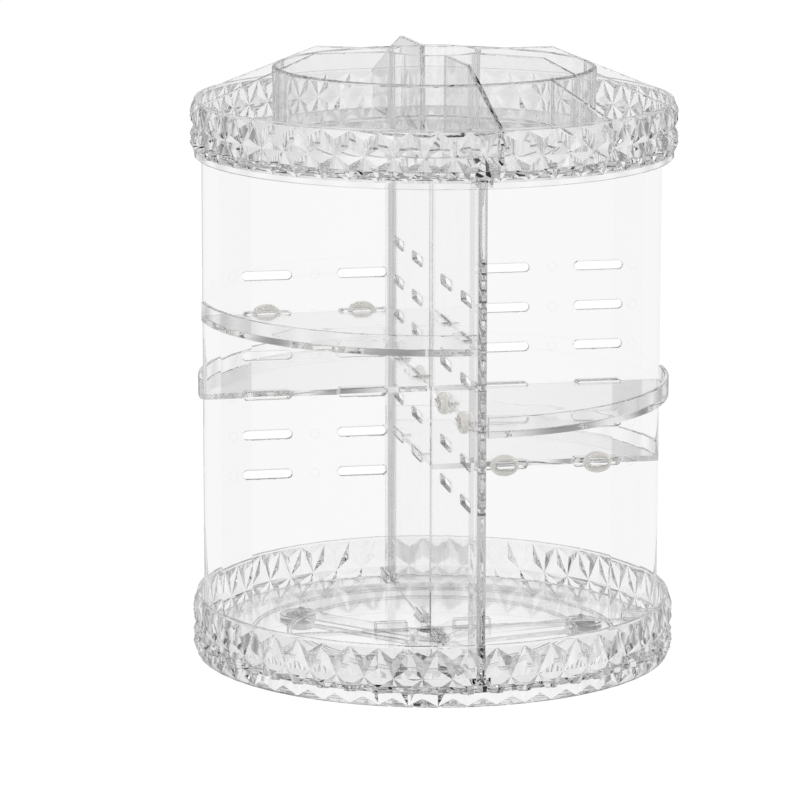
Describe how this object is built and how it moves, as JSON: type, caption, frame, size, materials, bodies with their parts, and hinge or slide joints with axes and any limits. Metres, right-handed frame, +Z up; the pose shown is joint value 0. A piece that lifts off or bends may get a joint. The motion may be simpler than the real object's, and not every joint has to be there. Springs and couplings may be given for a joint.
{
  "type": "rotating makeup organizer",
  "caption": "Clear rotating makeup organizer: turntable base tray with a faceted rim, crossed slotted panels, plug-in quarter trays on lock rings and a divided lift-off top tray.",
  "frame": {"origin": "on the table, under the middle of the object, on the axis of rotation", "axes": "+Z up along the axis of rotation; the panels lie along X and Y; -Y faces the picture's camera"},
  "size_m": [0.22, 0.22, 0.28],
  "materials": {
    "clear_plastic": "clear moulded polystyrene, polished",
    "soft_lock_ring": "translucent soft silicone, matt",
    "foot_rubber": "soft grey rubber",
    "polished_steel": "polished bearing steel",
    "zinc_steel": "bright zinc plated"
  },
  "bodies": {
    "base": {"back_left_bearing_ball": "polished_steel", "back_left_rubber_foot": "foot_rubber", "front_bearing_ball": "polished_steel", "front_rubber_foot": "foot_rubber", "right_bearing_ball": "polished_steel", "right_rubber_foot": "foot_rubber", "turntable_spider": "clear_plastic"},
    "carousel": {"back_left_inner_lock_ring": "soft_lock_ring", "back_left_outer_lock_ring": "soft_lock_ring", "back_left_tray": "clear_plastic", "back_right_inner_lock_ring": "soft_lock_ring", "back_right_outer_lock_ring": "soft_lock_ring", "back_right_tray": "clear_plastic", "base_tray": "clear_plastic", "front_left_inner_lock_ring": "soft_lock_ring", "front_left_outer_lock_ring": "soft_lock_ring", "front_left_tray": "clear_plastic", "front_right_inner_lock_ring": "soft_lock_ring", "front_right_outer_lock_ring": "soft_lock_ring", "front_right_tray": "clear_plastic", "front_to_back_panel": "clear_plastic", "pivot_screw": "zinc_steel", "pivot_washer": "zinc_steel", "side_to_side_panel": "clear_plastic"},
    "top": {"top_tray": "clear_plastic"}
  },
  "joints": [
    {"name": "carousel_spin", "type": "hinge", "parent": "base", "child": "carousel", "pos_m": [0, 0, 0.008], "axis": [0, 0, 1], "continuous": true},
    {"name": "top_tray_lift", "type": "slide", "parent": "carousel", "child": "top", "axis": [0, 0, 1], "range_m": [0, 0.03]}
  ]
}
